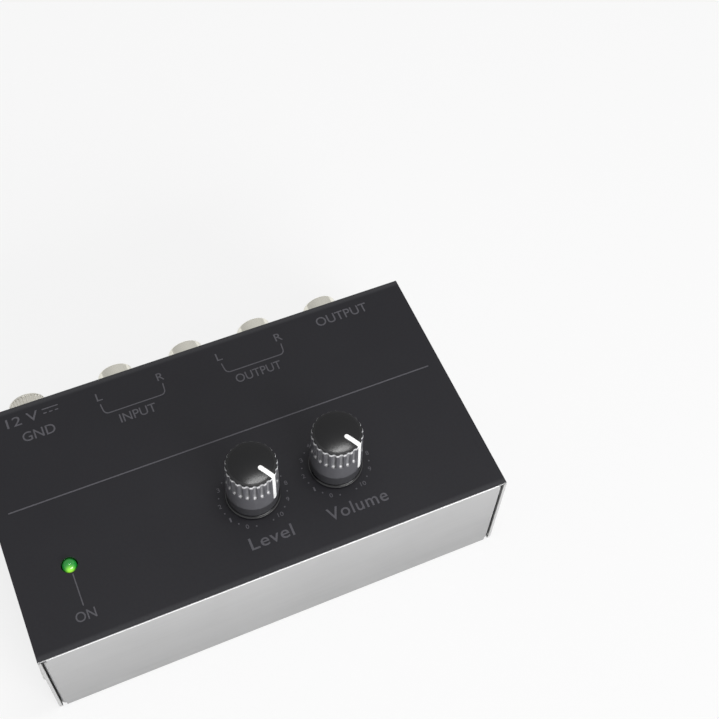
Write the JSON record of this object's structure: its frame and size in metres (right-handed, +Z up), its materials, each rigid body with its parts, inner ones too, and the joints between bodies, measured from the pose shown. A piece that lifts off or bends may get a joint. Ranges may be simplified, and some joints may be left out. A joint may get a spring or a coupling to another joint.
{
  "type": "phono preamp",
  "caption": "Desktop phono preamp: folded metal case with fluted level and volume knobs, a lamp, phono sockets, a power inlet and a ground terminal.",
  "frame": {"origin": "centre of the case's underside, on the surface it stands on", "axes": "+X from left to right along the front, +Y from the front wall to the sockets, +Z up through the knobs"},
  "size_m": [0.1046, 0.067, 0.0429],
  "materials": {
    "cover_finish": "satin charcoal paint on top, bare satin metal on the folded walls",
    "bare_sheet": "bare satin sheet with a fine rolled grain",
    "screw_steel": "zinc plated",
    "board_green": "green solder mask",
    "pot_metal": "tinned",
    "tinned_metal": "tinned",
    "shaft_metal": "turned",
    "knob_black": "satin moulded",
    "pointer_white": "moulded",
    "lamp_green": "clear tinted lens, lit",
    "black_plastic": "moulded",
    "nickel": "nickel plated",
    "socket_white": "moulded",
    "socket_red": "moulded",
    "contact_gold": "plated",
    "chip_black": "moulded",
    "capacitor_red": "dipped",
    "capacitor_blue": "sleeved",
    "ceramic_tan": "fired"
  },
  "bodies": {
    "chassis": {"cover": "cover_finish", "base_tray": "bare_sheet", "cover_screws": "screw_steel", "pcb_standoffs": "screw_steel", "pcb": "board_green", "pcb_screws": "screw_steel", "level_pot_case": "pot_metal", "level_pot_pins": "tinned_metal", "volume_pot_case": "pot_metal", "volume_pot_pins": "tinned_metal", "power_led": "lamp_green", "led_leads": "tinned_metal", "led_spacer": "black_plastic", "dc_inlet_body": "black_plastic", "dc_inlet_pin": "nickel", "dc_inlet_spring": "nickel", "ground_stud": "nickel", "ground_bracket": "tinned_metal", "ground_nut": "nickel", "opamp_left": "chip_black", "opamp_right": "chip_black", "film_capacitors": "capacitor_red", "coupling_capacitors": "capacitor_blue", "supply_capacitors": "capacitor_blue", "voltage_regulator": "chip_black", "polarity_diode": "chip_black", "resistors": "chip_black", "ceramic_capacitors": "ceramic_tan", "input_left_housing": "black_plastic", "input_left_sleeve": "nickel", "input_left_insulator": "socket_white", "input_left_contact": "contact_gold", "input_right_housing": "black_plastic", "input_right_sleeve": "nickel", "input_right_insulator": "socket_red", "input_right_contact": "contact_gold", "output_left_housing": "black_plastic", "output_left_sleeve": "nickel", "output_left_insulator": "socket_white", "output_left_contact": "contact_gold", "output_right_housing": "black_plastic", "output_right_sleeve": "nickel", "output_right_insulator": "socket_red", "output_right_contact": "contact_gold"},
    "level_control": {"level_knob": "knob_black", "level_pointer": "pointer_white", "level_shaft": "shaft_metal"},
    "volume_control": {"volume_knob": "knob_black", "volume_pointer": "pointer_white", "volume_shaft": "shaft_metal"},
    "clamp_washer": {"ground_washer": "nickel"},
    "clamp_nut": {"ground_thumb_nut": "nickel"}
  },
  "joints": [
    {"name": "level_turn", "type": "hinge", "parent": "chassis", "child": "level_control", "pos_m": [0.0002, -0.01085, 0.028], "axis": [0, 0, 1], "range_deg": [-6, 294]},
    {"name": "volume_turn", "type": "hinge", "parent": "chassis", "child": "volume_control", "pos_m": [0.0192, -0.01085, 0.028], "axis": [0, 0, 1], "range_deg": [-6, 294]},
    {"name": "clamp_travel", "type": "slide", "parent": "chassis", "child": "clamp_washer", "axis": [0, 1, 0], "range_m": [0, 0.0028]},
    {"name": "clamp_turn", "type": "hinge", "parent": "clamp_washer", "child": "clamp_nut", "pos_m": [-0.0377, 0.034, 0.0137], "axis": [0, 1, 0], "range_deg": [0, 1440]}
  ],
  "couplings": [
    {"joint": "clamp_turn", "follows": "clamp_travel", "rad_per_m": 8975.9}
  ]
}
